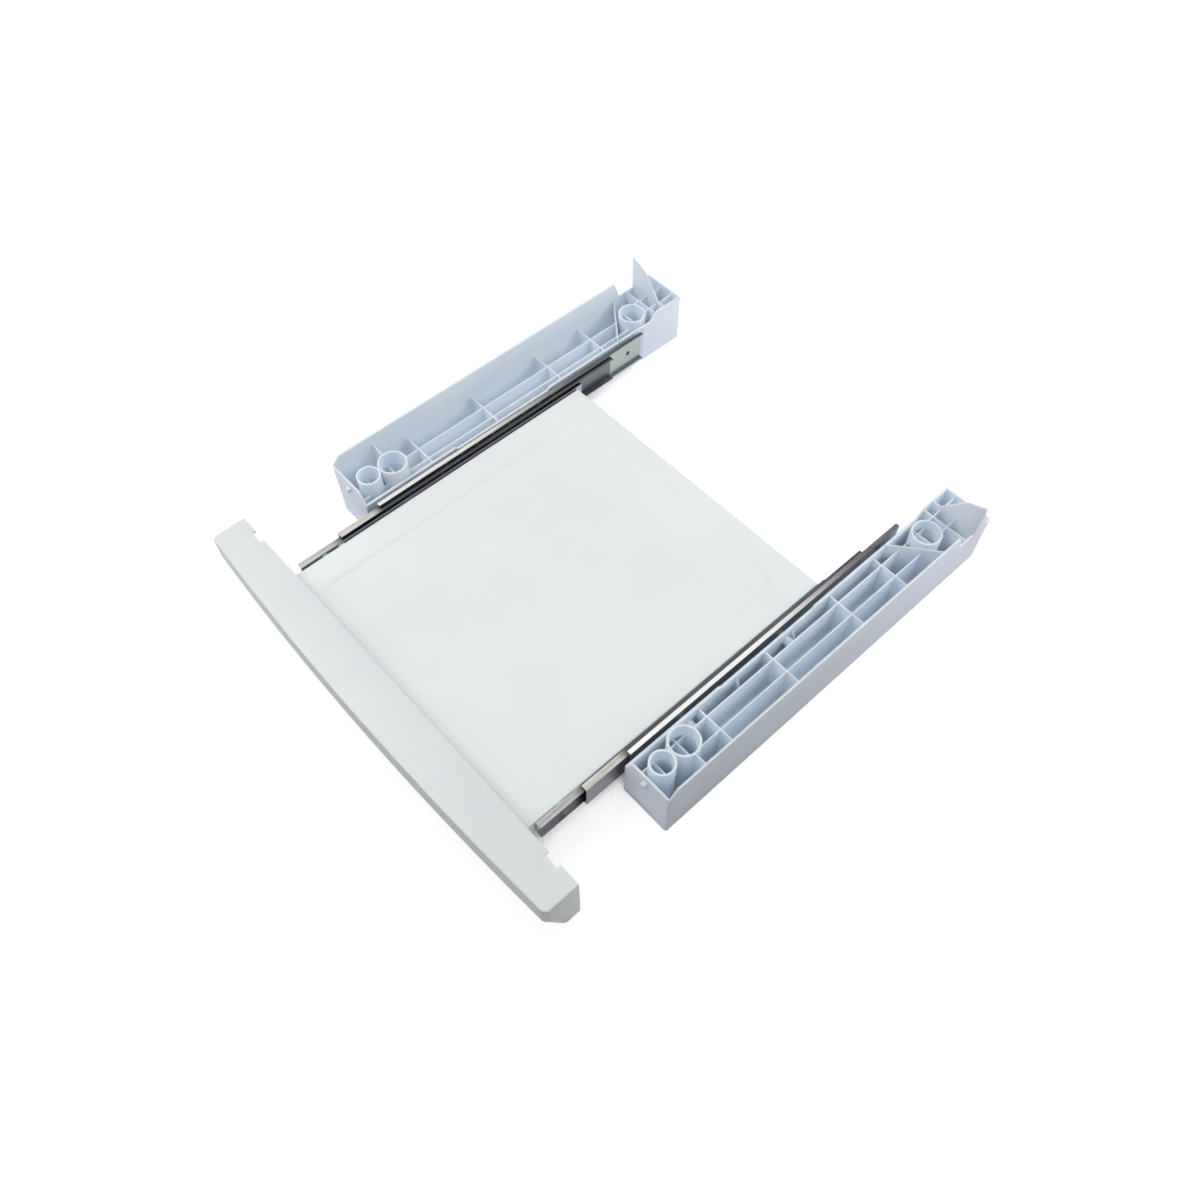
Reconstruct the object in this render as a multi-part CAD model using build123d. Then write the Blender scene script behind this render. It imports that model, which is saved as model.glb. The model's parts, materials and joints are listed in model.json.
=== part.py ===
from build123d import *
import os

# Stacking kit that stands between a washing machine and a dryer, with a shelf that pulls out at the front.
# X runs across the kit, Y from its front to its back and Z up. Both sides are built on the right, where X is
# positive, and mirrored. The arms' front faces are at Y = 0 and their undersides at Z = 0 until the last step,
# which moves everything so that the origin is under the middle of the whole. All sizes are millimetres.

# Arms: two open ribbed plastic mouldings
kit_width = 600.0
arm_width = 66.0
arm_depth = 545.0
arm_wall = 2.5
arm_corner_radius = 3.0
end_wall_height = 82.0
end_wall_slope = 10.0
side_wall_height = 95.0
side_ramp_length = 12.0
ledge_height = 63.0
ledge_drop = 3.5
ledge_drop_start_share = 0.262
ledge_drop_end_share = 0.547
ledge_ramp = 4.0
rail_recess_depth = 0.8
rear_block_length = 71.0
rear_height = 75.0
rear_ramp_from_back = 57.0
rear_ramp_length = 12.0
notch_from_back = 68.0
notch_slope = 9.0
notch_floor_height = 69.0
fin_from_back = 30.0
fin_height = 119.0
fin_shoulder_width = 23.0
fin_shoulder_height = 110.0
fin_foot_width = 53.0
fin_gusset_length = 16.0

# Ribs inside an arm
rib_thickness = 1.8
rib_height = 57.0
inner_rib_offset = 15.5
outer_rib_offset = 36.5
cross_rib_shares = (0.198, 0.394, 0.6, 0.745)
gusset_shares = (0.308, 0.479)
gusset_foot = 30.0
rear_rib_from_back = 46.0
rear_rib_height = 71.0
slanted_wall_inner_from_back = 118.0
slanted_wall_outer_from_back = 68.0
slanted_wall_height = 66.0
cup_brace_position = 59.0
cup_brace_height = 80.0

# Foot cups: round sockets in the arms that locate the feet of the upper appliance
cup_wall = 2.5
cup_seat_step = 0.6
small_cup_radius = 15.5
large_cup_radius = 19.2
small_cup_offset = 28.0
large_cup_offset = 25.4
small_cup_position = 27.0
large_cup_position = 61.5
rear_cup_from_back = 70.0
front_cup_height = 77.0
rear_cup_height = 70.0
large_cup_seat_rise = 1.0
rear_cup_seat_rise = 2.0

# Catch on an arm's front wall
catch_width = 6.0
catch_length = 5.0
catch_height = 6.0
catch_foot = 67.0
catch_offset = 28.0

# Telescopic rails: outer, middle and inner member on two rows of balls each
rail_front = 13.0
rail_back_gap = 11.0
rail_height = 45.5
rail_depth = 12.7
rail_centre_height = 41.0
rail_to_arm_gap = 5.3
rail_to_tray_gap = 1.5
outer_sheet = 1.5
middle_sheet = 1.4
inner_sheet = 1.2
outer_flange_width = 5.3
middle_flange_width = 8.1
inner_flange_width = 7.5
outer_web_gap = 0.7
ball_radius = 1.6
ball_clearance = 0.15
race_depth = 0.35
cage_sheet = 0.4
cage_end_room = 30.0
cage_end_land = 19.0
cage_ball_clearance = 0.1
balls_per_row = 8
outer_ball_offset = 3.5
inner_ball_offset = 4.8

# Shelf tray: one folded steel sheet
tray_sheet = 1.2
tray_top_height = 52.7
tray_back_inset = 8.0
tray_skirt_height = 24.0
tray_front_flange_height = 40.0
tray_bend_radius = 2.0
panel_margin_side = 35.5
panel_margin_back = 34.0
panel_margin_front = 17.0
panel_depth = 2.3
panel_slope_width = 5.5
panel_corner_radius = 14.0
pad_length = 12.0
pad_height = 16.0
front_lug_length = 5.5
second_lug_length = 7.5
second_lug_spacing = 24.0

# Front bar: hollow plastic moulding fixed to the tray
bar_overhang = 2.0
bar_top_height = 86.0
bar_bottom_height = 3.0
bar_end_depth = 44.0
bar_middle_depth = 54.5
bar_face_bottom = 54.0
bar_undercut = 20.0
bar_skin = 3.0
bar_corner_radius = 8.0
bar_edge_radius = 2.0
bar_rib_thickness = 2.0
bar_boss_radius = 5.0
bar_screw_shares = (0.2, 0.6)
bar_screw_height = 30.0
bar_notch_width = 18.0
bar_notch_depth = 5.0
bar_notch_inset = 36.0

# Screws
rail_screw_radius = 2.0
rail_screw_head_radius = 3.6
rail_screw_length = 15.0
rail_screw_shares = (0.178, 0.533, 0.944)
rail_boss_radius = 6.0
tray_screw_radius = 1.9
tray_screw_head_radius = 3.4
tray_screw_head_height = 1.8
tray_screw_length = 7.0
tray_screw_shares = (0.0733, 0.356, 0.644, 0.933)
bar_screw_radius = 1.9
bar_screw_head_radius = 3.6
bar_screw_head_height = 2.2
bar_screw_length = 16.0
cross_slot_width = 1.0
cross_slot_depth = 0.9

# Travel: how far the shelf is out of its closed place in the modelled position, and how much of the inner
# member's length the outer member still overlaps when the shelf is fully out
closed_gap = 3.0
shelf_pull_out = 122.0
rail_overlap_at_full_travel = 50.0

# Derived places
arm_outer_face = kit_width / 2
arm_inner_face = arm_outer_face - arm_width
recess_face = arm_inner_face + rail_recess_depth
inner_rib_x = arm_inner_face + inner_rib_offset
outer_rib_x = arm_inner_face + outer_rib_offset
small_cup_x = arm_inner_face + small_cup_offset
large_cup_x = arm_inner_face + large_cup_offset
rail_recess_length = arm_depth - rear_block_length
rear_cup_position = arm_depth - rear_cup_from_back
fin_position = arm_depth - fin_from_back
rail_length = rail_recess_length - rail_front - rail_back_gap
rail_outer_face = arm_inner_face - rail_to_arm_gap
rail_inner_face = rail_outer_face - rail_depth
tray_half_width = rail_inner_face - rail_to_tray_gap
shelf_travel = rail_length - rail_overlap_at_full_travel
cage_length = rail_length - shelf_travel / 2 - cage_end_room
ball_pitch = (cage_length - 2 * cage_end_land) / (balls_per_row - 1)
bar_half_width = arm_outer_face + bar_overhang
bar_back = -closed_gap - shelf_pull_out
flat_gap = 2 * (ball_radius + ball_clearance - race_depth)
outer_half = rail_height / 2
middle_half = outer_half - outer_sheet - flat_gap
inner_half = middle_half - middle_sheet - flat_gap
outer_ball_height = middle_half + flat_gap / 2
inner_ball_height = inner_half + flat_gap / 2
outer_web_face = rail_depth - outer_sheet
middle_web_back = outer_web_face - outer_web_gap
middle_web_face = middle_web_back - middle_sheet
outer_ball_x = rail_depth - outer_ball_offset
tray_front = bar_back
tray_rear = rail_front + rail_length - tray_back_inset - shelf_pull_out
skirt_bottom = tray_top_height - tray_skirt_height
whole_front = bar_back - bar_middle_depth
origin_y = (whole_front + arm_depth) / 2


def block(x_low, x_high, y_low, y_high, z_low, z_high):
    """A box given by its six faces."""
    middle = ((x_low + x_high) / 2, (y_low + y_high) / 2, (z_low + z_high) / 2)
    return Pos(*middle) * Box(x_high - x_low, y_high - y_low, z_high - z_low)


def side_plate(outline, x_low, x_high):
    """A plate with its faces across X and an outline of (y, z) points."""
    plane = Plane(origin=(x_low, 0, 0), x_dir=(0, 1, 0), z_dir=(1, 0, 0))
    return extrude(plane * Polygon(*outline, align=None), amount=x_high - x_low, dir=(1, 0, 0))


def cross_plate(outline, y_low, y_high):
    """A plate with its faces across Y and an outline of (x, z) points."""
    plane = Plane(origin=(0, y_low, 0), x_dir=(1, 0, 0), z_dir=(0, -1, 0))
    return extrude(plane * Polygon(*outline, align=None), amount=y_high - y_low, dir=(0, 1, 0))


def upright(x, y, radius, z_low, z_high):
    """A vertical cylinder."""
    return Pos(x, y, (z_low + z_high) / 2) * Cylinder(radius, z_high - z_low)


def bar_across(x_low, x_high, y, z, radius):
    """A cylinder along X."""
    return Pos((x_low + x_high) / 2, y, z) * Rot(0, 90, 0) * Cylinder(radius, x_high - x_low)


def bar_along(x, y_low, y_high, z, radius):
    """A cylinder along Y."""
    return Pos(x, (y_low + y_high) / 2, z) * Rot(90, 0, 0) * Cylinder(radius, y_high - y_low)


def ledge_profile(lowered_by):
    """Top line of an arm's inner side from front to back, moved down by the given amount."""
    low = ledge_height - ledge_drop
    drop_start = ledge_drop_start_share * arm_depth
    drop_end = ledge_drop_end_share * arm_depth
    points = [
        (0, ledge_height),
        (drop_start - ledge_ramp / 2, ledge_height),
        (drop_start + ledge_ramp / 2, low),
        (drop_end - ledge_ramp / 2, low),
        (drop_end + ledge_ramp / 2, ledge_height),
        (rail_recess_length + arm_wall, ledge_height),
    ]
    return [(y, z - lowered_by) for y, z in points]


def arm_shell():
    """The arm's floor and outer walls, with the recess for the rail along its inner side."""
    fin_front = fin_position - rib_thickness / 2
    fin_back = fin_position + rib_thickness / 2
    outer_wall = side_plate(
        [
            (0, 0),
            (arm_depth, 0),
            (arm_depth, rear_height),
            (fin_back + fin_gusset_length, rear_height),
            (fin_back, fin_height),
            (fin_front, fin_height),
            (fin_front, notch_floor_height),
            (arm_depth - notch_from_back + notch_slope, notch_floor_height),
            (arm_depth - notch_from_back, side_wall_height),
            (side_ramp_length, side_wall_height),
            (0, end_wall_height),
        ],
        arm_outer_face - arm_wall,
        arm_outer_face,
    )
    front_wall = cross_plate(
        [
            (arm_inner_face, 0),
            (arm_outer_face, 0),
            (arm_outer_face, end_wall_height),
            (arm_inner_face + end_wall_slope, end_wall_height),
            (arm_inner_face, ledge_height - arm_wall),
        ],
        0,
        arm_wall,
    )
    rear_wall = block(arm_inner_face, arm_outer_face, arm_depth - arm_wall, arm_depth, 0, rear_height)
    floor = block(recess_face, arm_outer_face, 0, arm_depth, 0, arm_wall)
    rear_floor = block(arm_inner_face, recess_face, rail_recess_length, arm_depth, 0, arm_wall)
    recess_end = rail_recess_length + arm_wall
    recess_back = side_plate(
        [(0, 0), (recess_end, 0)] + ledge_profile(arm_wall)[::-1],
        recess_face,
        recess_face + arm_wall,
    )
    ledge = side_plate(
        ledge_profile(0) + ledge_profile(arm_wall)[::-1], arm_inner_face, recess_face + arm_wall
    )
    recess_end_wall = block(
        arm_inner_face, recess_face + arm_wall, rail_recess_length, recess_end, 0, ledge_height
    )
    rear_inner_wall = side_plate(
        [
            (rail_recess_length, 0),
            (arm_depth, 0),
            (arm_depth, rear_height),
            (arm_depth - rear_ramp_from_back + rear_ramp_length, rear_height),
            (arm_depth - rear_ramp_from_back, ledge_height),
            (rail_recess_length, ledge_height),
        ],
        arm_inner_face,
        arm_inner_face + arm_wall,
    )
    shell = outer_wall + front_wall + rear_wall + floor + rear_floor + recess_back + ledge
    shell += recess_end_wall + rear_inner_wall
    plan = Pos(arm_outer_face - arm_width / 2, arm_depth / 2) * Rectangle(arm_width, arm_depth)
    plan = fillet(plan.vertices().sort_by(Axis.X)[-2:], arm_corner_radius)
    return shell & extrude(plan, amount=fin_height, dir=(0, 0, 1))


def arm_ribs():
    """Stiffening ribs across and along the arm, the slanted wall near its back and the rear fin."""
    half = rib_thickness / 2
    inside = recess_face + arm_wall / 2
    outside = arm_outer_face - arm_wall / 2
    rib_start = large_cup_position + large_cup_radius / 2
    ribs = block(inner_rib_x - half, inner_rib_x + half, 0, arm_depth, 0, rib_height)
    ribs += block(outer_rib_x - half, outer_rib_x + half, rib_start, rear_cup_position, 0, rib_height)
    for rib_x in (inner_rib_x, outer_rib_x):
        ribs += block(rib_x - half, rib_x + half, rear_cup_position, arm_depth, 0, rear_rib_height)
    for share in cross_rib_shares:
        y = share * arm_depth
        ribs += block(inside, outside, y - half, y + half, 0, rib_height)
    rear_rib_y = arm_depth - rear_rib_from_back
    ribs += block(arm_inner_face + arm_wall / 2, outside, rear_rib_y - half, rear_rib_y + half, 0, rear_rib_height)
    for share in gusset_shares:
        y = share * arm_depth
        web = [(inside, gusset_foot), (inner_rib_x, gusset_foot), (inside, ledge_height - ledge_drop)]
        ribs += cross_plate(web, y - half, y + half)
    slant_inner = arm_depth - slanted_wall_inner_from_back
    slant_outer = arm_depth - slanted_wall_outer_from_back
    slant = Plane.XY * Polygon(
        (inside, slant_inner - half),
        (outside, slant_outer - half),
        (outside, slant_outer + half),
        (inside, slant_inner + half),
        align=None,
    )
    ribs += extrude(slant, amount=slanted_wall_height, dir=(0, 0, 1))
    brace = [
        (large_cup_x, 0),
        (outside, 0),
        (outside, cup_brace_height),
        (large_cup_x + large_cup_radius - cup_wall / 2, front_cup_height),
        (large_cup_x, front_cup_height),
    ]
    ribs += cross_plate(brace, cup_brace_position - half, cup_brace_position + half)
    fin = [
        (arm_inner_face + arm_wall / 2, 0),
        (arm_outer_face, 0),
        (arm_outer_face, fin_height),
        (arm_outer_face - fin_shoulder_width, fin_shoulder_height),
        (arm_outer_face - fin_foot_width, rear_height),
        (arm_inner_face + arm_wall / 2, rear_height),
    ]
    ribs += cross_plate(fin, fin_position - half, fin_position + half)
    return ribs


def cup_places():
    """Centre, outer radius, seat height and rim height of each foot cup in an arm."""
    large_seat = rib_height + large_cup_seat_rise
    rear_seat = rib_height + rear_cup_seat_rise
    return [
        (small_cup_x, small_cup_position, small_cup_radius, rib_height, front_cup_height),
        (large_cup_x, large_cup_position, large_cup_radius, large_seat, front_cup_height),
        (large_cup_x, rear_cup_position, large_cup_radius, rear_seat, rear_cup_height),
    ]


def right_arm():
    """One arm: the walls, ribs and foot cups, the bosses that carry the rail and the front catch."""
    half = rib_thickness / 2
    arm = arm_shell() + arm_ribs()
    for x, y, radius, seat, rim in cup_places():
        arm += upright(x, y, radius, 0, rim)
    for x, y, radius, seat, rim in cup_places():
        bore = radius - cup_wall
        cleared = upright(x, y, bore - cup_seat_step, arm_wall, seat)
        cleared -= block(x - radius, x + radius, y - half, y + half, 0, rib_height)
        cleared -= block(inner_rib_x - half, inner_rib_x + half, y - radius, y + radius, 0, rib_height)
        cleared += upright(x, y, bore, seat, fin_height)
        arm -= cleared
    for share in rail_screw_shares:
        y = rail_front + share * rail_length
        boss_end = rail_outer_face + rail_screw_length + arm_wall
        arm += bar_across(rail_outer_face, boss_end, y, rail_centre_height, rail_boss_radius)
    for share in rail_screw_shares:
        y = rail_front + share * rail_length
        hole_end = rail_outer_face + rail_screw_length - outer_sheet
        arm -= bar_across(rail_outer_face, hole_end, y, rail_centre_height, rail_screw_radius)
    catch_x = arm_inner_face + catch_offset
    arm += block(catch_x, catch_x + catch_width, -catch_length, arm_wall, catch_foot, catch_foot + catch_height)
    return arm


def rail_strip(outline, y_low, length):
    """A strip of constant section along Y. Its outline is in (distance out from the rail's inner face, height
    above the rail's centre line)."""
    placed = [(rail_inner_face + x, rail_centre_height + z) for x, z in outline]
    return cross_plate(placed, y_low, y_low + length)


def channel(web_low, web_high, flange_low, flange_high, half_height, sheet, y_low):
    """A channel section: a web with a flange at its top and bottom."""
    channel_part = rail_strip(
        [(web_low, -half_height), (web_high, -half_height), (web_high, half_height), (web_low, half_height)],
        y_low,
        rail_length,
    )
    for side in (-1, 1):
        flange = [
            (flange_low, side * half_height),
            (flange_high, side * half_height),
            (flange_high, side * (half_height - sheet)),
            (flange_low, side * (half_height - sheet)),
        ]
        channel_part += rail_strip(flange, y_low, rail_length)
    return channel_part


def cut_races(member, ball_x, ball_height, y_low):
    """The rail member with a round-bottomed groove for the upper and the lower row of balls."""
    for side in (-1, 1):
        height = rail_centre_height + side * ball_height
        groove = bar_along(
            rail_inner_face + ball_x, y_low, y_low + rail_length, height, ball_radius + ball_clearance
        )
        member -= groove
    return member


def outer_rail():
    """The rail member screwed to the arm."""
    member = channel(
        outer_web_face, rail_depth, rail_depth - outer_flange_width, rail_depth, outer_half, outer_sheet, rail_front
    )
    member = cut_races(member, outer_ball_x, outer_ball_height, rail_front)
    for share in rail_screw_shares:
        member -= rail_screw(rail_front + share * rail_length)
    return member


def middle_rail():
    """The rail member that moves half as far as the shelf."""
    y_low = rail_front - shelf_pull_out / 2
    member = channel(
        middle_web_face,
        middle_web_back,
        middle_web_back - middle_flange_width,
        middle_web_back,
        middle_half,
        middle_sheet,
        y_low,
    )
    member = cut_races(member, outer_ball_x, outer_ball_height, y_low)
    return cut_races(member, inner_ball_offset, inner_ball_height, y_low)


def inner_rail():
    """The rail member that carries the shelf."""
    y_low = rail_front - shelf_pull_out
    member = channel(0, inner_sheet, 0, inner_flange_width, inner_half, inner_sheet, y_low)
    member = cut_races(member, inner_ball_offset, inner_ball_height, y_low)
    for share in tray_screw_shares:
        y = y_low + share * rail_length
        member -= bar_across(
            rail_inner_face, rail_inner_face + inner_sheet, y, rail_centre_height, tray_screw_radius
        )
    first = y_low + tray_screw_shares[0] * rail_length
    low_hole = rail_centre_height - inner_half / 2 - inner_sheet
    member -= bar_across(rail_inner_face, rail_inner_face + inner_sheet, first, low_hole, tray_screw_radius)
    slot_y = first + second_lug_spacing
    slot_z = rail_centre_height + inner_half / 2
    slot = Pos(rail_inner_face + inner_sheet / 2, slot_y, slot_z) * Rot(-35, 0, 0) * Box(inner_sheet * 2, 3.0, 9.0)
    return member - slot


def ball_rows(ball_x, ball_height, y_middle):
    """Centres of the balls in one cage, in the upper and the lower row."""
    first = y_middle - ball_pitch * (balls_per_row - 1) / 2
    places = []
    for side in (-1, 1):
        for number in range(balls_per_row):
            y = first + number * ball_pitch
            places.append((rail_inner_face + ball_x, y, rail_centre_height + side * ball_height))
    return places


def ball_cage(ball_x, ball_height, web_x, y_middle):
    """A thin bent strip with a hole around each ball."""
    half = cage_sheet / 2
    y_low = y_middle - cage_length / 2
    web_top = ball_height + half
    cage = rail_strip(
        [(web_x - half, -web_top), (web_x + half, -web_top), (web_x + half, web_top), (web_x - half, web_top)],
        y_low,
        cage_length,
    )
    flange_tip = ball_x - ball_radius
    for side in (-1, 1):
        low = side * ball_height - half
        high = side * ball_height + half
        strip = [(flange_tip, low), (web_x + half, low), (web_x + half, high), (flange_tip, high)]
        cage += rail_strip(strip, y_low, cage_length)
    for x, y, z in ball_rows(ball_x, ball_height, y_middle):
        cage -= upright(x, y, ball_radius + cage_ball_clearance, z - ball_radius, z + ball_radius)
    return cage


def balls(ball_x, ball_height, y_middle):
    """The steel balls held by one cage."""
    return Part() + [Pos(*place) * Sphere(ball_radius) for place in ball_rows(ball_x, ball_height, y_middle)]


def cage_middle(share):
    """Middle of a cage along Y, for a cage that moves the given share of the shelf's travel."""
    return rail_front + rail_length / 2 - share * shelf_pull_out


def outer_cage_web():
    """Place of the outer cage's upright strip, between the outer and middle members' webs."""
    return (outer_web_face + middle_web_back) / 2


def inner_cage_web():
    """Place of the inner cage's upright strip, between the inner member's flanges and the middle web."""
    return (inner_flange_width + middle_web_face) / 2


def rail_screw(y):
    """A countersunk screw through the outer member into the arm's boss, its head flush with the web."""
    face = rail_inner_face + outer_web_face
    head_x = face + outer_sheet / 2
    head = Pos(head_x, y, rail_centre_height) * Rot(0, 90, 0) * Cone(
        rail_screw_head_radius, rail_screw_radius, outer_sheet
    )
    shank = bar_across(face, face + rail_screw_length, y, rail_centre_height, rail_screw_radius)
    return head + shank


def rail_screws():
    """The countersunk screws of one outer member."""
    screws = Part()
    for share in rail_screw_shares:
        y = rail_front + share * rail_length
        screw = rail_screw(y)
        face = rail_inner_face + outer_web_face
        slot_high = face + cross_slot_depth
        z = rail_centre_height
        reach = rail_screw_head_radius / 2
        half = cross_slot_width / 2
        screw -= block(face, slot_high, y - reach, y + reach, z - half, z + half)
        screw -= block(face, slot_high, y - half, y + half, z - reach, z + reach)
        screws += screw
    return screws


def tray_screws():
    """The pan-head screws that hold one inner member to the tray, with their heads in the channel."""
    screws = Part()
    seat = rail_inner_face + inner_sheet
    top = seat + tray_screw_head_height
    z = rail_centre_height
    reach = tray_screw_head_radius / 2
    half = cross_slot_width / 2
    for share in tray_screw_shares:
        y = rail_front - shelf_pull_out + share * rail_length
        screw = bar_across(seat, top, y, z, tray_screw_head_radius)
        screw += bar_across(seat - tray_screw_length, seat, y, z, tray_screw_radius)
        screw -= block(top - cross_slot_depth, top, y - reach, y + reach, z - half, z + half)
        screw -= block(top - cross_slot_depth, top, y - half, y + half, z - reach, z + reach)
        screws += screw
    return screws


def tray_side_pads():
    """Pressed-out pads of the right skirt that meet the inner member, and the two lugs at the tray's edge."""
    inner_face = tray_half_width - tray_sheet
    pads = Part()
    for share in tray_screw_shares:
        y = rail_front - shelf_pull_out + share * rail_length
        low = rail_centre_height - pad_height / 2
        high = rail_centre_height + pad_height / 2
        pad = block(inner_face, rail_inner_face, y - pad_length / 2, y + pad_length / 2, low, high)
        pads += pad
    first = rail_front - shelf_pull_out + tray_screw_shares[0] * rail_length
    lugs = ((first, front_lug_length), (first + second_lug_spacing, second_lug_length))
    for y, length in lugs:
        low = rail_centre_height
        pads += block(inner_face, rail_inner_face, y - length / 2, y + length / 2, low, tray_top_height - tray_sheet)
    return pads


def tray_pad_hollows():
    """Hollows behind the pads on the inside of the right skirt, and the screw holes."""
    inner_face = tray_half_width - tray_sheet
    hollow_face = rail_inner_face - tray_sheet
    cuts = Part()
    for share in tray_screw_shares:
        y = rail_front - shelf_pull_out + share * rail_length
        half_length = pad_length / 2 - tray_sheet
        half_height = pad_height / 2 - tray_sheet
        low = rail_centre_height - half_height
        high = rail_centre_height + half_height
        cuts += block(inner_face, hollow_face, y - half_length, y + half_length, low, high)
        cuts += bar_across(inner_face, rail_inner_face, y, rail_centre_height, tray_screw_radius)
    return cuts


def pressed_panel(top_height):
    """The shallow sloping-sided hollow of the tray's panel, with its mouth at the given height."""
    width = 2 * (tray_half_width - panel_margin_side)
    depth = tray_rear - tray_front - panel_margin_back - panel_margin_front
    middle_y = (tray_rear - panel_margin_back + tray_front + panel_margin_front) / 2
    inset = 2 * panel_slope_width
    mouth = Pos(0, middle_y, top_height) * RectangleRounded(width, depth, panel_corner_radius)
    bed = Pos(0, middle_y, top_height - panel_depth) * RectangleRounded(
        width - inset, depth - inset, panel_corner_radius - panel_slope_width / 2
    )
    return loft([mouth, bed], ruled=True)


def shelf_tray():
    """The folded sheet that carries the load, with skirts at both sides and flanges at front and back."""
    low = -tray_half_width
    high = tray_half_width
    tray = block(low, high, tray_front, tray_rear, skirt_bottom, tray_top_height)
    rim = [
        edge
        for edge in tray.edges().filter_by_position(Axis.Z, tray_top_height - 0.01, tray_top_height + 0.01)
        if edge.center().Y > tray_front + 0.01
    ]
    tray = fillet(rim, tray_bend_radius)
    under = tray_top_height - tray_sheet
    tray -= block(
        low + tray_sheet, high - tray_sheet, tray_front + tray_sheet, tray_rear - tray_sheet, skirt_bottom, under
    )
    flange_bottom = tray_top_height - tray_front_flange_height
    tray += block(low, high, tray_front, tray_front + tray_sheet, flange_bottom, under)
    tray += pressed_panel(under)
    tray -= pressed_panel(tray_top_height)
    pads = tray_side_pads()
    hollows = tray_pad_hollows()
    tray += pads + mirror(pads, about=Plane.YZ)
    tray -= hollows + mirror(hollows, about=Plane.YZ)
    for x in bar_screw_places():
        for side in (-1, 1):
            tray -= bar_along(side * x, tray_front, tray_front + tray_sheet, bar_screw_height, bar_screw_radius)
    return tray


def bar_screw_places():
    """Distances of the bar's screws from the kit's middle."""
    return [share * kit_width / 2 for share in bar_screw_shares]


def bar_plan(z, undercut, inset, back):
    """Outline of the front bar seen from above, at a height, with a slightly bowed front."""
    side = bar_half_width - inset
    end_front = bar_back - bar_end_depth + undercut + inset
    middle_front = bar_back - bar_middle_depth + undercut + inset
    edges = [
        Line((-side, back), (side, back)),
        Line((side, back), (side, end_front)),
        ThreePointArc((side, end_front), (0, middle_front), (-side, end_front)),
        Line((-side, end_front), (-side, back)),
    ]
    face = make_face(edges)
    front_corners = face.vertices().filter_by_position(Axis.Y, middle_front, end_front + 0.01)
    return Pos(0, 0, z) * fillet(front_corners, bar_corner_radius - inset)


def bar_solid(inset, top, bottom, back):
    """The front bar's outer form, or its hollow when the inset is the skin's thickness."""
    slope = bar_undercut / (bar_face_bottom - bar_bottom_height)
    upright_face = bar_plan(bar_face_bottom, 0, inset, back)
    foot = bar_plan(bottom, slope * (bar_face_bottom - bottom), inset, back)
    upper = extrude(upright_face, amount=top - bar_face_bottom, dir=(0, 0, 1))
    lower = loft([foot, upright_face], ruled=True)
    return upper + lower


def front_bar():
    """The hollow front bar, open at the back, with ribs and screw bosses inside."""
    outer = bar_solid(0, bar_top_height, bar_bottom_height, bar_back)
    rim = [
        edge
        for edge in outer.edges().filter_by_position(Axis.Z, bar_top_height - 0.01, bar_top_height + 0.01)
        if edge.center().Y < bar_back - 0.01
    ]
    outer = fillet(rim, bar_edge_radius)
    hollow = bar_solid(bar_skin, bar_top_height - bar_skin, bar_bottom_height + bar_skin, bar_back)
    bar = outer - hollow
    half = bar_rib_thickness / 2
    reach = bar_middle_depth
    for x in bar_screw_places():
        for side in (-1, 1):
            rib = block(
                side * x - half, side * x + half, bar_back - reach, bar_back, bar_bottom_height, bar_top_height - bar_skin
            )
            boss = bar_along(side * x, bar_back - reach, bar_back, bar_screw_height, bar_boss_radius)
            bar += (rib + boss) & outer
    for x in bar_screw_places():
        for side in (-1, 1):
            hole_end = bar_back - bar_screw_length + tray_sheet
            bar -= bar_along(side * x, hole_end, bar_back, bar_screw_height, bar_screw_radius)
    for side in (-1, 1):
        notch_x = side * (bar_half_width - bar_notch_inset)
        half_notch = bar_notch_width / 2
        bar -= block(
            notch_x - half_notch,
            notch_x + half_notch,
            bar_back - bar_notch_depth,
            bar_back,
            bar_top_height - bar_skin,
            bar_top_height,
        )
    return bar


def front_bar_screws():
    """The pan-head screws through the tray's front flange into the bar's bosses."""
    screws = Part()
    seat = tray_front + tray_sheet
    top = seat + bar_screw_head_height
    reach = bar_screw_head_radius / 2
    half = cross_slot_width / 2
    z = bar_screw_height
    for offset in bar_screw_places():
        for side in (-1, 1):
            x = side * offset
            screw = bar_along(x, seat, top, z, bar_screw_head_radius)
            screw += bar_along(x, seat - bar_screw_length, seat, z, bar_screw_radius)
            screw -= block(x - reach, x + reach, top - cross_slot_depth, top, z - half, z + half)
            screw -= block(x - half, x + half, top - cross_slot_depth, top, z - reach, z + reach)
            screws += screw
    return screws


def both_sides(name, right_part):
    """The part for the right side and its mirror image for the left."""
    return {"right_" + name: right_part, "left_" + name: mirror(right_part, about=Plane.YZ)}


parts = {"shelf_tray": shelf_tray(), "front_bar": front_bar(), "front_bar_screws": front_bar_screws()}
parts.update(both_sides("arm", right_arm()))
parts.update(both_sides("outer_rail", outer_rail()))
parts.update(both_sides("middle_rail", middle_rail()))
parts.update(both_sides("inner_rail", inner_rail()))
parts.update(both_sides("rail_screws", rail_screws()))
parts.update(both_sides("tray_screws", tray_screws()))
outer_cage_place = (outer_ball_x, outer_ball_height)
inner_cage_place = (inner_ball_offset, inner_ball_height)
parts.update(
    both_sides("outer_ball_cage", ball_cage(*outer_cage_place, outer_cage_web(), cage_middle(1 / 4)))
)
parts.update(
    both_sides("inner_ball_cage", ball_cage(*inner_cage_place, inner_cage_web(), cage_middle(3 / 4)))
)
parts.update(both_sides("outer_balls", balls(*outer_cage_place, cage_middle(1 / 4))))
parts.update(both_sides("inner_balls", balls(*inner_cage_place, cage_middle(3 / 4))))

os.makedirs("parts", exist_ok=True)
for name, part in parts.items():
    export_step(Pos(0, -origin_y, 0) * part, f"parts/{name}.step")
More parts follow.
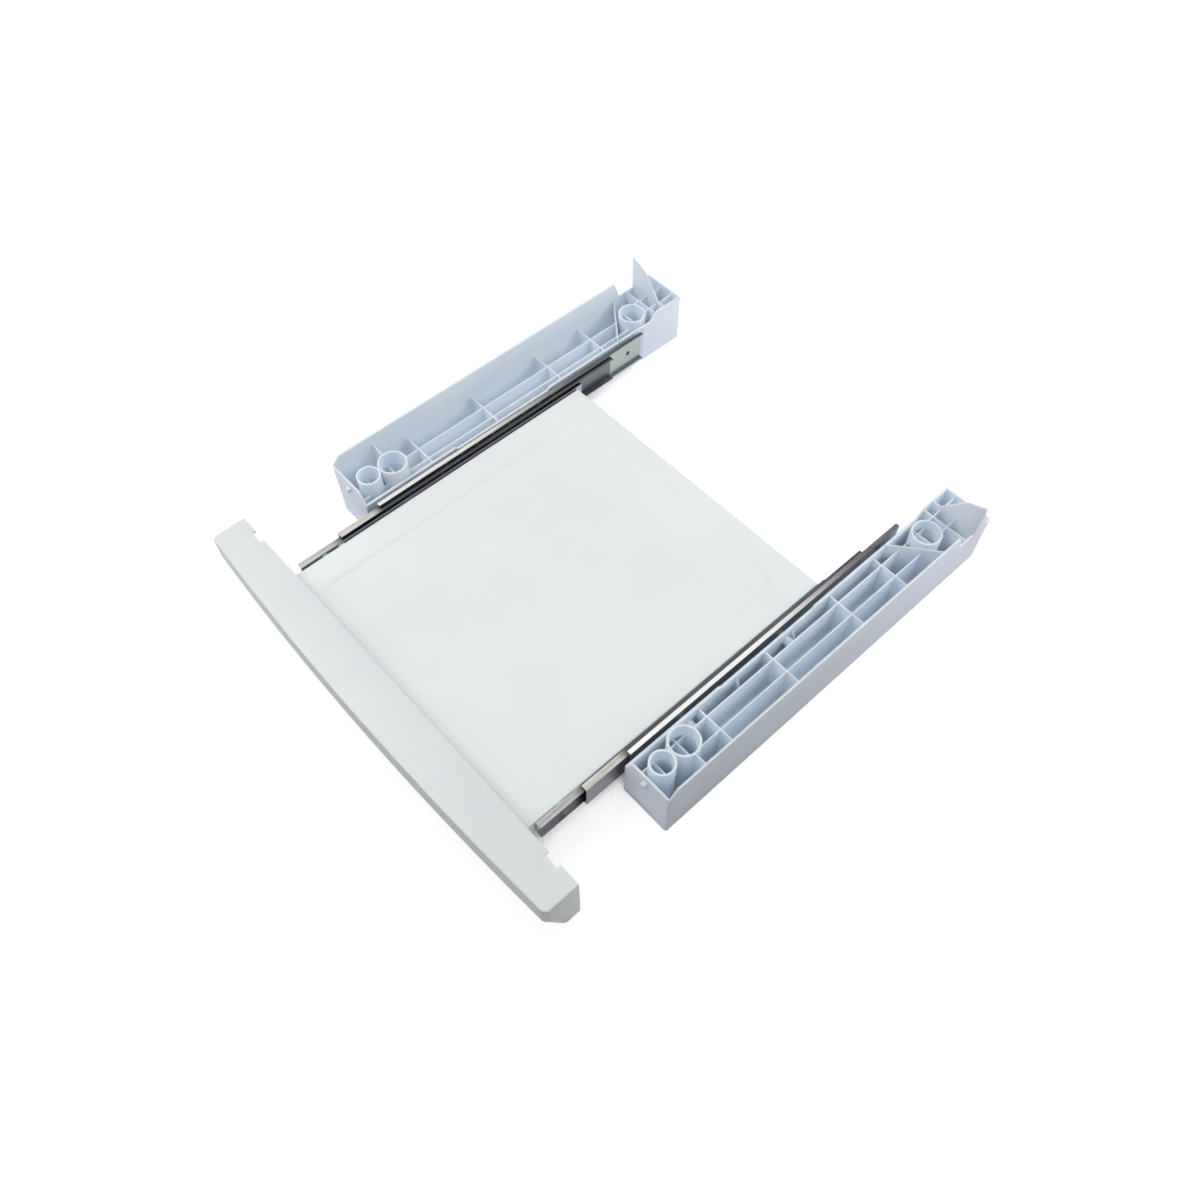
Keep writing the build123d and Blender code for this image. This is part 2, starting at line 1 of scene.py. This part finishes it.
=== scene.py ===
# %% [markdown]
# # A stacking kit with a pull-out shelf
# This lesson dresses a finished CAD model: two ribbed plastic arms, a sheet steel tray on telescopic ball rails,
# and a hollow plastic front bar. The CAD solids give every size and place, so nothing is fitted by eye here.
# The work is in soft edges, in believable plastic, paint and zinc, and in calm studio light.

import json
from math import cos, pi, radians, sin

import bpy
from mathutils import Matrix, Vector

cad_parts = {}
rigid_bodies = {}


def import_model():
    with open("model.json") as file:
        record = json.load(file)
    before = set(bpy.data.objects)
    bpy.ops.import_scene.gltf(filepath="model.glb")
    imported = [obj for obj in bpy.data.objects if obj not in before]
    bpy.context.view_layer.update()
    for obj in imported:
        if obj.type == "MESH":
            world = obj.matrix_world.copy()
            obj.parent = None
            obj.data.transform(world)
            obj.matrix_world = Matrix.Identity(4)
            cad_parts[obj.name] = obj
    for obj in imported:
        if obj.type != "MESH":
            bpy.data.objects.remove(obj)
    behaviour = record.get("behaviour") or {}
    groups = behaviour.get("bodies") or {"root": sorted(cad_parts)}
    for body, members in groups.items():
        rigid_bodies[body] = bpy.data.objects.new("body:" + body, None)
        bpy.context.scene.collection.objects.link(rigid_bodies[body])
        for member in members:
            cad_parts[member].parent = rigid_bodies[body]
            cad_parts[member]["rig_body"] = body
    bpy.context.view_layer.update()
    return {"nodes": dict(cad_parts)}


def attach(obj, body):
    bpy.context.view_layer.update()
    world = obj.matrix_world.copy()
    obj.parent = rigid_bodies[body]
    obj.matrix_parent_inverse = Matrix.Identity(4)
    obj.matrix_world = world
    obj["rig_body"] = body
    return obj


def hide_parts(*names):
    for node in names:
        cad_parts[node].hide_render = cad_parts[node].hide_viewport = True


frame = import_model()

# %% [markdown]
# ## Small helpers
# Blender mixes light in linear numbers, while colours are usually written as sRGB hex codes, so one function turns
# one into the other. Another adds a node with its settings, values, links and colour stops in one call, which
# keeps a material readable as a list of steps. Patterns on this object are small, so they're sized in millimetres.

# %% Colour, node and pattern helpers
def linear(code):
    """An sRGB hex code as linear red, green, blue and full opacity."""
    parts = [int(code[i : i + 2], 16) / 255 for i in (1, 3, 5)]
    return tuple(c / 12.92 if c <= 0.04045 else ((c + 0.055) / 1.055) ** 2.4 for c in parts) + (1.0,)


def join(owner, node, links):
    """Links into one node of a material or world, each written as socket: source socket."""
    for socket, source in links.items():
        owner.node_tree.links.new(source, node.inputs[socket])


def add(owner, kind, settings=(), values=(), links=(), stops=()):
    """A new node with its settings, socket values, links and, where it has a ramp, (position, hex colour) stops."""
    node = owner.node_tree.nodes.new(kind)
    for name, value in dict(settings).items():
        setattr(node, name, value)
    for socket, value in dict(values).items():
        node.inputs[socket].default_value = value
    join(owner, node, dict(links))
    # A new ramp already has two stops, so only further ones are added.
    for _ in stops[2:]:
        node.color_ramp.elements.new(0.5)
    for place, (position, code) in enumerate(stops):
        node.color_ramp.elements[place].position = position
        node.color_ramp.elements[place].color = linear(code)
    return node


def start_material(name, **values):
    """A material with its Principled shader set, and the shader. An underscore in a value's name is a space."""
    material = bpy.data.materials.new(name)
    material.use_nodes = True
    shader = material.node_tree.nodes["Principled BSDF"]
    for socket, value in values.items():
        shader.inputs[socket.replace("_", " ")].default_value = value
    return material, shader


def per_metre(millimetres):
    """The texture scale that makes one feature of a pattern that many millimetres across."""
    return 1000 / millimetres


print("White #FFFFFF is", linear("#FFFFFF")[:3], "and a 2 mm grain has scale", per_metre(2))

# %% [markdown]
# ## Moulded polypropylene for the arms
# The arms are injection moulded in polypropylene, in a pale blue grey. The mould's face is spark eroded, so the
# skin is a fine matt grain, and thin walls cool unevenly, which leaves the colour a touch cloudy over some
# centimetres. Real grain is about 0.1 mm and would vanish in the picture, so it is drawn at 0.6 mm. The walls are
# thin enough to let some light in, so the shader scatters it a few millimetres deep, and the cells look less dark.

# %% Arm plastic
cloud_mm = 55
grain_height = 0.0002
scatter_depth = 0.005


def moulded_plastic(name, pale, deep, grain_mm, rough, scatter):
    """Injection moulded plastic: a cloudy colour, a matt grain in the bump, an uneven gloss and scattered light."""
    material, shader = start_material(name, IOR=1.49, Subsurface_Weight=scatter, Subsurface_Scale=scatter_depth,
                                      Subsurface_Radius=(1.0, 1.0, 1.0))
    place = add(material, "ShaderNodeTexCoord").outputs["Object"]
    cloud = add(material, "ShaderNodeTexNoise", values={"Scale": per_metre(cloud_mm), "Detail": 3.0, "Roughness": 0.55},
                links={"Vector": place})
    grain = add(material, "ShaderNodeTexNoise", values={"Scale": per_metre(grain_mm), "Detail": 2.0},
                links={"Vector": place})
    colour = add(material, "ShaderNodeValToRGB", links={"Fac": cloud.outputs["Fac"]}, stops=((0.3, deep), (0.7, pale)))
    gloss = add(material, "ShaderNodeMapRange", values={"To Min": rough[0], "To Max": rough[1]},
                links={"Value": cloud.outputs["Fac"]})
    bump = add(material, "ShaderNodeBump", values={"Strength": 0.12, "Distance": grain_height},
               links={"Height": grain.outputs["Fac"]})
    join(material, shader, {"Base Color": colour.outputs["Color"], "Roughness": gloss.outputs["Result"],
                            "Normal": bump.outputs["Normal"]})
    return material


arm_plastic = moulded_plastic("moulded polypropylene", "#E7F1FD", "#E1ECF9", grain_mm=0.6, rough=(0.4, 0.54),
                              scatter=0.8)
print("Arm plastic:", len(arm_plastic.node_tree.nodes), "nodes")

# %% [markdown]
# ## Moulded ABS for the front bar
# The bar is what one sees and touches on the closed kit, so it is ABS with a finer grain, a smoother skin and a
# more neutral white than the arms. The same recipe serves, with no scattering, because ABS of this kind is opaque.

# %% Bar plastic
bar_plastic = moulded_plastic("moulded ABS", "#E3E9E8", "#E0E6E6", grain_mm=0.45, rough=(0.36, 0.4), scatter=0.0)
print("Bar plastic:", bar_plastic.name)

# %% [markdown]
# ## Powder coated steel for the tray
# The tray is pressed from sheet steel and baked in white powder paint. Powder paint flows into a faint orange
# peel under an even, fairly smooth gloss. Its soft hills are about 1.5 mm across, and they are drawn twice as
# coarse, because finer ones would vanish in the picture. Its tone drifts a little over ten centimetres or so.

# %% Tray paint
peel_mm = 3
peel_height = 0.0003
drift_mm = 120
white_paint, paint_shader = start_material("powder coated steel", IOR=1.5)
place = add(white_paint, "ShaderNodeTexCoord").outputs["Object"]
peel = add(white_paint, "ShaderNodeTexNoise", values={"Scale": per_metre(peel_mm), "Detail": 1.0},
           links={"Vector": place})
drift = add(white_paint, "ShaderNodeTexNoise", values={"Scale": per_metre(drift_mm), "Detail": 2.0},
            links={"Vector": place})
tone = add(white_paint, "ShaderNodeValToRGB", links={"Fac": drift.outputs["Fac"]},
           stops=((0.3, "#E9EFED"), (0.7, "#EEF3F1")))
sheen = add(white_paint, "ShaderNodeMapRange", values={"To Min": 0.3, "To Max": 0.4},
            links={"Value": drift.outputs["Fac"]})
ripple = add(white_paint, "ShaderNodeBump", values={"Strength": 0.1, "Distance": peel_height},
             links={"Height": peel.outputs["Fac"]})
join(white_paint, paint_shader, {"Base Color": tone.outputs["Color"], "Roughness": sheen.outputs["Result"],
                                 "Normal": ripple.outputs["Normal"]})
print("Tray paint:", len(white_paint.node_tree.nodes), "nodes")

# %% [markdown]
# ## Zinc plated steel for the rails
# The rails are rolled from strip steel, zinc plated and passivated. Rolling leaves fine streaks along the strip,
# here along Y, so one noise is stretched that way and gives the colour, the gloss and the bump together.

# %% Streaks along the rails
strip_streak_mm = (60, 1.2)


def streaked(material, along_mm, across_mm):
    """A noise that is long along Y and narrow across it."""
    place = add(material, "ShaderNodeTexCoord").outputs["Object"]
    stretch = add(material, "ShaderNodeMapping", values={"Scale": (1.0, across_mm / along_mm, 1.0)},
                  links={"Vector": place})
    noise = add(material, "ShaderNodeTexNoise", values={"Scale": per_metre(across_mm), "Detail": 4.0},
                links={"Vector": stretch.outputs["Vector"]})
    return noise.outputs["Fac"]


print("A streak of the strip is", strip_streak_mm[0], "mm long and", strip_streak_mm[1], "mm wide")

# %% [markdown]
# ## Film and grease on the rail members
# The passive film shows faint green, blue and purple tints on the upright webs, and the webs are painted much
# darker than the level flanges, as painted shade and painted reflection. The level flanges, which the rolls
# burnish last, stay almost white, but painted shade darkens them along Y: only the rear part of an outer member,
# where it also stands for a dark reflection, and nearly the whole of the middle and inner ones, which run inside
# another. Where a face is level, its normal points up, so the normal's Z sorts film from bare zinc and keeps the
# painted shade off the webs.

# %% Film and painted shade
film_mm = (160, 12)
film_steps = (0.38, 0.5, 0.62)
streak_steps = (0.35, 0.65)


def film_and_grease(material, bare, streaks, web, greasy_mm, grease):
    """Bare colour; upright faces get film tints painted darker, level ones painted shade that thickens along Y."""
    surface = add(material, "ShaderNodeTexCoord").outputs
    facing = add(material, "ShaderNodeSeparateXYZ", links={"Vector": surface["Normal"]})
    place = add(material, "ShaderNodeSeparateXYZ", links={"Vector": surface["Object"]})
    level = add(material, "ShaderNodeMapRange", values={"From Min": 0.4, "From Max": 0.8},
                links={"Value": facing.outputs["Z"]})
    # Upright webs: film tints, painted darker as painted shade and painted reflection.
    web_colour = add(material, "ShaderNodeValToRGB", links={"Fac": streaked(material, *film_mm)},
               stops=tuple(zip(film_steps, web)))
    tinted_and_shaded_web = add(material, "ShaderNodeMix", settings={"data_type": "RGBA"},
                 links={"Factor": level.outputs["Result"], "A": web_colour.outputs["Color"], "B": bare})
    # Level faces: painted shade that thickens along Y.
    shade_along_y = add(material, "ShaderNodeMapRange", settings={"interpolation_type": "SMOOTHSTEP"},
                 values={"From Min": greasy_mm[0] / 1000, "From Max": greasy_mm[1] / 1000},
                 links={"Value": place.outputs["Y"]})
    painted_shade_on_flanges = add(material, "ShaderNodeMath", settings={"operation": "MULTIPLY"},
                  links={0: shade_along_y.outputs["Result"], 1: level.outputs["Result"]})
    painted_shade_tint = add(material, "ShaderNodeValToRGB", links={"Fac": streaks}, stops=tuple(zip(streak_steps, grease)))
    greased = add(material, "ShaderNodeMix", settings={"data_type": "RGBA"},
                  links={"Factor": painted_shade_on_flanges.outputs["Value"], "A": tinted_and_shaded_web.outputs["Result"],
                         "B": painted_shade_tint.outputs["Color"]})
    return greased.outputs["Result"]


print("Film patches are", film_mm[0], "by", film_mm[1], "mm")

# %% [markdown]
# ## One recipe for every steel
# The gloss and the bump follow the same streaks as the colour, as they do on rolled strip. Only a rail member is
# given film and painted shade. The balls and screws have no direction, so their streaks are as wide as they are long.

# %% Plated steel
def plated_steel(name, light, dark, rough, streak_mm=strip_streak_mm, relief_mm=0.1, **member):
    """Steel with streaks along Y. A rail member also has its film and its painted shade."""
    material, shader = start_material(name, Metallic=1.0)
    streaks = streaked(material, *streak_mm)
    bare = add(material, "ShaderNodeValToRGB", links={"Fac": streaks}, stops=tuple(zip(streak_steps, (dark, light))))
    colour = bare.outputs["Color"]
    if member:
        colour = film_and_grease(material, colour, streaks, **member)
    gloss = add(material, "ShaderNodeMapRange", values={"To Min": rough[0], "To Max": rough[1]},
                links={"Value": streaks})
    bump = add(material, "ShaderNodeBump", values={"Strength": 0.15, "Distance": relief_mm / 1000},
               links={"Height": streaks})
    join(material, shader, {"Base Color": colour, "Roughness": gloss.outputs["Result"],
                            "Normal": bump.outputs["Normal"]})
    return material


print("The recipe is ready, with streaks", strip_streak_mm[0], "mm long unless it is told otherwise")

# %% [markdown]
# Both outer members are burnished zinc; the left one's colours are painted a little darker, as painted shade. The
# middle member lies in their shade, so its zinc and film are painted darker as painted shade. Cages are pressed from
# thinner strip, the balls are polished, and the screws are blackened.

# %% Rail, cage, ball and screw steel
# Web colours: film tints painted darker as painted shade and reflection. The shaded film and deep colours are painted
# shade.
film_tint_and_web_shade = ("#A9B8AF", "#A7ADBA", "#B1A8B1")
shaded_film = ("#747A7D", "#6D717C", "#74707B")
thick_grease = ("#4E4F52", "#66686B")
# Each rail's flanges get painted shade from the first to the second number along Y, in mm.
right_outer_zinc = plated_steel("burnished zinc plate, right", "#F9F8F4", "#ECEBE6", rough=(0.26, 0.4),
                                web=film_tint_and_web_shade, greasy_mm=(20, 215), grease=("#68656A", "#837E84"))
# The left outer member is painted darker than the right, and its painted shade starts further forward.
left_outer_zinc = plated_steel("burnished zinc plate, left", "#F2F2EC", "#D8D9D3", rough=(0.26, 0.4),
                               web=film_tint_and_web_shade, greasy_mm=(-60, 190), grease=("#51575A", "#666C6E"))
# The middle member's zinc, film and flanges are painted dark, as painted shade.
middle_zinc = plated_steel("zinc plate in painted shade", "#CFCDC6", "#ADABA5", rough=(0.3, 0.45),
                           web=shaded_film, greasy_mm=(-184, -166), grease=thick_grease)
inner_zinc = plated_steel("passivated zinc plate", "#BFBEBA", "#989793", rough=(0.28, 0.42),
                          web=film_tint_and_web_shade, greasy_mm=(-246, -226), grease=thick_grease)
cage_steel = plated_steel("pressed cage steel", "#A9A9A6", "#8C8C88", rough=(0.3, 0.45), streak_mm=(30, 1.0))
ball_steel = plated_steel("polished bearing steel", "#DADADA", "#CFCFCF", rough=(0.08, 0.14), streak_mm=(2, 2),
                          relief_mm=0.01)
screw_steel = plated_steel("blackened screw steel", "#5C5C60", "#3F3F44", rough=(0.3, 0.4), streak_mm=(2, 2),
                           relief_mm=0.05)
for steel in (right_outer_zinc, left_outer_zinc, middle_zinc, inner_zinc, cage_steel, ball_steel, screw_steel):
    print(steel.name + ":", len(steel.node_tree.nodes), "nodes")

# %% [markdown]
# ## Soft edges
# A moulded or pressed edge is never a perfect corner: it has a small radius that catches a thread of light. The
# CAD solids have crisp corners, so the arms, the tray and the bar are shown by copies. In each copy the loose
# triangles are merged, flat areas are joined into whole faces, and sharp edges get a narrow bevel. The tray's
# sunken panel has gentle slopes, so its edges count as sharp from a smaller angle.

# %% A softened copy of a CAD shape
merge_within = 0.000002
flat_within = radians(0.5)
smooth_within = radians(32)


def select_only(piece):
    """Leaves one piece selected and active, for the operators that follow."""
    bpy.ops.object.select_all(action="DESELECT")
    piece.select_set(True)
    bpy.context.view_layer.objects.active = piece


def softened(node, name, edge_mm, sharp):
    """A copy of a CAD node, in the node's own place, with its edges of more than so many degrees rounded."""
    piece = bpy.data.objects.new(name, frame["nodes"][node].data.copy())
    bpy.context.scene.collection.objects.link(piece)
    select_only(piece)
    bpy.ops.mesh.customdata_custom_splitnormals_clear()
    bpy.ops.object.mode_set(mode="EDIT")
    bpy.ops.mesh.select_all(action="SELECT")
    bpy.ops.mesh.remove_doubles(threshold=merge_within)
    bpy.ops.mesh.dissolve_limited(angle_limit=flat_within)
    bpy.ops.object.mode_set(mode="OBJECT")
    bevel = piece.modifiers.new("Soft edges", "BEVEL")
    bevel.width = edge_mm / 1000
    bevel.segments = 2
    bevel.limit_method = "ANGLE"
    bevel.angle_limit = radians(sharp)
    bevel.use_clamp_overlap = True
    bpy.ops.object.modifier_apply(modifier=bevel.name)
    bpy.ops.object.shade_smooth_by_angle(angle=smooth_within)
    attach(piece, frame["nodes"][node]["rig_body"])
    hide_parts(node)
    return piece


print("Doubles are merged within", merge_within * 1000, "mm")

# %% Arms, tray and bar
for node, name, edge_mm, sharp, material, slot in (
    ("left_arm", "left_arm_moulding", 0.45, 30, arm_plastic, "arm_plastic"),
    ("right_arm", "right_arm_moulding", 0.45, 30, arm_plastic, "arm_plastic"),
    ("shelf_tray", "tray_pressing", 0.5, 8, white_paint, "white_paint"),
    ("front_bar", "bar_moulding", 0.6, 30, bar_plastic, "bar_plastic"),
):
    piece = softened(node, name, edge_mm, sharp)
    piece.data.materials.clear()
    piece.data.materials.append(material)
    print(name, len(piece.data.polygons), "faces, edges rounded by", edge_mm, "mm")

# %% [markdown]
# ## Materials for the CAD nodes
# The rails, cages, balls and screws keep their CAD shapes and only get their steel. The first word below that is
# in a node's name decides, so the screws of the tray are found before the tray. The four nodes that have copies
# get the same finish as these, so that the bare CAD model reads alike.

# %% A finish for every node
finishes = {
    "screws": screw_steel,
    "cage": cage_steel,
    "balls": ball_steel,
    "left_outer": left_outer_zinc,
    "right_outer": right_outer_zinc,
    "middle": middle_zinc,
    "inner": inner_zinc,
    "arm": arm_plastic,
    "tray": white_paint,
    "bar": bar_plastic,
}
for node, part in frame["nodes"].items():
    part.data.materials.clear()
    part.data.materials.append(next(finish for word, finish in finishes.items() if word in node))
print("Finished nodes:", len(frame["nodes"]))

# %% Floor and its glow
floor_radius = 12
table_glow = 0.86
shade_reach = 0.15
bpy.ops.object.select_all(action="DESELECT")
bpy.ops.mesh.primitive_circle_add(vertices=96, radius=floor_radius, fill_type="NGON", location=(0, 0, 0))
floor = bpy.context.active_object
floor.name = "studio_floor"
floor_paint, floor_shader = start_material("lit studio floor", Roughness=0.9, Specular_IOR_Level=0.0)
ray = add(floor_paint, "ShaderNodeLightPath").outputs
floor_seen = add(floor_paint, "ShaderNodeMath", settings={"operation": "MAXIMUM"},
                 links={0: ray["Is Camera Ray"], 1: ray["Is Glossy Ray"]}).outputs["Value"]
open_above = add(floor_paint, "ShaderNodeAmbientOcclusion", settings={"samples": 8},
                 values={"Distance": shade_reach})
seen_glow = add(floor_paint, "ShaderNodeMapRange", settings={"interpolation_type": "SMOOTHSTEP"},
                values={"From Min": 0.05, "From Max": 0.38, "To Max": table_glow},
                links={"Value": open_above.outputs["AO"]})
print("Floor:", floor.name, "glows", table_glow, "where nothing stands above it")

# %% [markdown]
# ## The light that the floor gives back
# X less Y grows toward the near right, so one ramp over that value grades both the colour and the glow.

# %% Graded floor
left_glow = 0.34
spot = add(floor_paint, "ShaderNodeSeparateXYZ",
           links={"Vector": add(floor_paint, "ShaderNodeTexCoord").outputs["Object"]}).outputs
toward_near_right = add(floor_paint, "ShaderNodeMath", settings={"operation": "SUBTRACT"},
                        links={0: spot["X"], 1: spot["Y"]})
dark_side = add(floor_paint, "ShaderNodeMapRange", settings={"interpolation_type": "SMOOTHSTEP"},
                values={"From Min": -0.35, "From Max": 0.5}, links={"Value": toward_near_right.outputs["Value"]})
bounce = add(floor_paint, "ShaderNodeValToRGB", links={"Fac": dark_side.outputs["Result"]},
             stops=((0.0, "#EDE9F6"), (1.0, "#65616B")))
left_light = add(floor_paint, "ShaderNodeMapRange", values={"To Min": left_glow, "To Max": 0.0},
                 links={"Value": dark_side.outputs["Result"]})
print("The floor gives back a glow of up to", left_glow, "at the far left")

# %% [markdown]
# ## A white card
# A lit card lies between the bar and the arms, under the rails' front ends, and brightens the walls that face
# forward. It is a patch of the floor's own glow with soft edges, found by how far a point is from its middle.

# %% Card
card_glow = 0.5
card_fades = []
for axis, middle, solid, edge in (("X", 0.0, 0.300, 0.335), ("Y", -0.252, 0.055, 0.070)):
    offset = add(floor_paint, "ShaderNodeMath", settings={"operation": "SUBTRACT"}, values={1: middle},
                 links={0: spot[axis]})
    away = add(floor_paint, "ShaderNodeMath", settings={"operation": "ABSOLUTE"}, links={0: offset.outputs["Value"]})
    fade = add(floor_paint, "ShaderNodeMapRange",
               values={"From Min": solid, "From Max": edge, "To Min": 1.0, "To Max": 0.0},
               links={"Value": away.outputs["Value"]})
    card_fades.append(fade.outputs["Result"])
card_shape = add(floor_paint, "ShaderNodeMath", settings={"operation": "MULTIPLY"}, links=dict(enumerate(card_fades)))
card = add(floor_paint, "ShaderNodeMath", settings={"operation": "MULTIPLY"}, values={1: card_glow},
           links={0: card_shape.outputs["Value"]})
given_glow = add(floor_paint, "ShaderNodeMath", settings={"operation": "MAXIMUM"},
                 links={0: left_light.outputs["Result"], 1: card.outputs["Value"]})
print("The card glows", card_glow, "and fades along", len(card_fades), "axes")

# %% [markdown]
# ## Two floors in one
# A mix by the kind of ray puts the two together. The camera and shiny metal see the plain white table, and all
# other light meets the graded floor, whose glow is a little violet, so that faces in shade look cool.

# %% Joined floor
given, shown = linear("#EFE8FF"), linear("#FFFFFF")
base = add(floor_paint, "ShaderNodeMix", settings={"data_type": "RGBA"}, values={"B": linear("#868686")},
           links={"Factor": floor_seen, "A": bounce.outputs["Color"]})
cast = add(floor_paint, "ShaderNodeMix", settings={"data_type": "RGBA"}, values={"A": given, "B": shown},
           links={"Factor": floor_seen})
strength = add(floor_paint, "ShaderNodeMix",
               links={"Factor": floor_seen, "A": given_glow.outputs["Value"], "B": seen_glow.outputs["Result"]})
join(floor_paint, floor_shader, {"Base Color": base.outputs["Result"], "Emission Color": cast.outputs["Result"],
                                 "Emission Strength": strength.outputs["Result"]})
floor.data.materials.append(floor_paint)
print("Floor paint:", len(floor_paint.node_tree.nodes), "nodes")

# %% [markdown]
# ## World
# The world is a soft light that is strongest overhead. Where the camera or shiny metal sees it, it is white.

# %% World
side_light = 0.04
top_light = 0.84
world = bpy.data.worlds.new("soft white studio")
bpy.context.scene.world = world
world.use_nodes = True
sky = world.node_tree.nodes["Background"]
sky.inputs["Color"].default_value = linear("#FDFDFF")
ray = add(world, "ShaderNodeLightPath").outputs
world_seen = add(world, "ShaderNodeMath", settings={"operation": "MAXIMUM"},
                 links={0: ray["Is Camera Ray"], 1: ray["Is Glossy Ray"]})
direction = add(world, "ShaderNodeSeparateXYZ", links={"Vector": add(world, "ShaderNodeTexCoord").outputs["Generated"]})
overhead = add(world, "ShaderNodeMapRange", values={"To Min": side_light, "To Max": top_light},
               links={"Value": direction.outputs["Z"]})
brightness = add(world, "ShaderNodeMath", settings={"operation": "MAXIMUM"},
                 links={0: world_seen.outputs["Value"], 1: overhead.outputs["Result"]})
join(world, sky, {"Strength": brightness.outputs["Value"]})
print("World:", world.name)

# %% [markdown]
# ## Lights
# A large one hangs high at the left front, so its light falls deep into the ribbed cells and the bar throws only a
# short shade on the tray. A weaker one stands lower at the right rear and brightens the faces toward the rear and
# the right. Both fade with distance, so the near right corner is the darkest. Together with the world they bring a
# level surface to about the brightness that its colour is written with.

# %% Soft boxes
def soft_box(name, place, level, size):
    """Its level is the brightness it gives a facing white card at 1 m."""
    light = bpy.data.lights.new(name, "AREA")
    light.size = size
    light.energy = level * pi ** 2
    box = bpy.data.objects.new(name.replace(" ", "_"), light)
    box.location = place
    box.rotation_euler = Vector(place).to_track_quat("Z", "Y").to_euler()
    box.visible_camera = False
    bpy.context.scene.collection.objects.link(box)
    return light


high_box = soft_box("high left soft box", place=(-0.85, -0.6, 1.55), level=1.0, size=0.9)
rear_box = soft_box("right rear soft box", place=(0.75, 1.05, 0.95), level=0.64, size=0.8)
print("Soft boxes:", round(high_box.energy, 1), "and", round(rear_box.energy, 1), "watts")

# %% [markdown]
# ## Camera
# The camera stands in that direction at a plain product distance, with no shift and no roll. Its focal
# length is written in pixels of the picture's width, as a camera fit gives it, and turned into millimetres
# of the sensor.

# %% Camera
azimuth = radians(47.62)
elevation = radians(57.0)
aim = Vector((0.0510, -0.0515, 0.040))
distance = 1.2484
focal_pixels = 1049.5
picture_pixels = 1200
sensor_mm = 36
back = Vector((sin(azimuth) * cos(elevation), -cos(azimuth) * cos(elevation), sin(elevation)))
lens = bpy.data.cameras.new("product_lens")
lens.sensor_width = sensor_mm
lens.lens = focal_pixels / picture_pixels * sensor_mm
lens.clip_start = 0.01
lens.clip_end = 100
camera = bpy.data.objects.new("product_camera", lens)
camera.location = aim + distance * back
camera.rotation_euler = back.to_track_quat("Z", "Y").to_euler()
bpy.context.scene.collection.objects.link(camera)
bpy.context.scene.camera = camera
print("Camera at", [round(v, 3) for v in camera.location], "lens", round(lens.lens, 1), "mm")

# %% [markdown]
# ## Plain colours on screen
# The standard view transform shows each colour as it is written, which suits a white product on white.

# %% Colour management
bpy.context.scene.view_settings.view_transform = "Standard"
print("View transform:", bpy.context.scene.view_settings.view_transform)
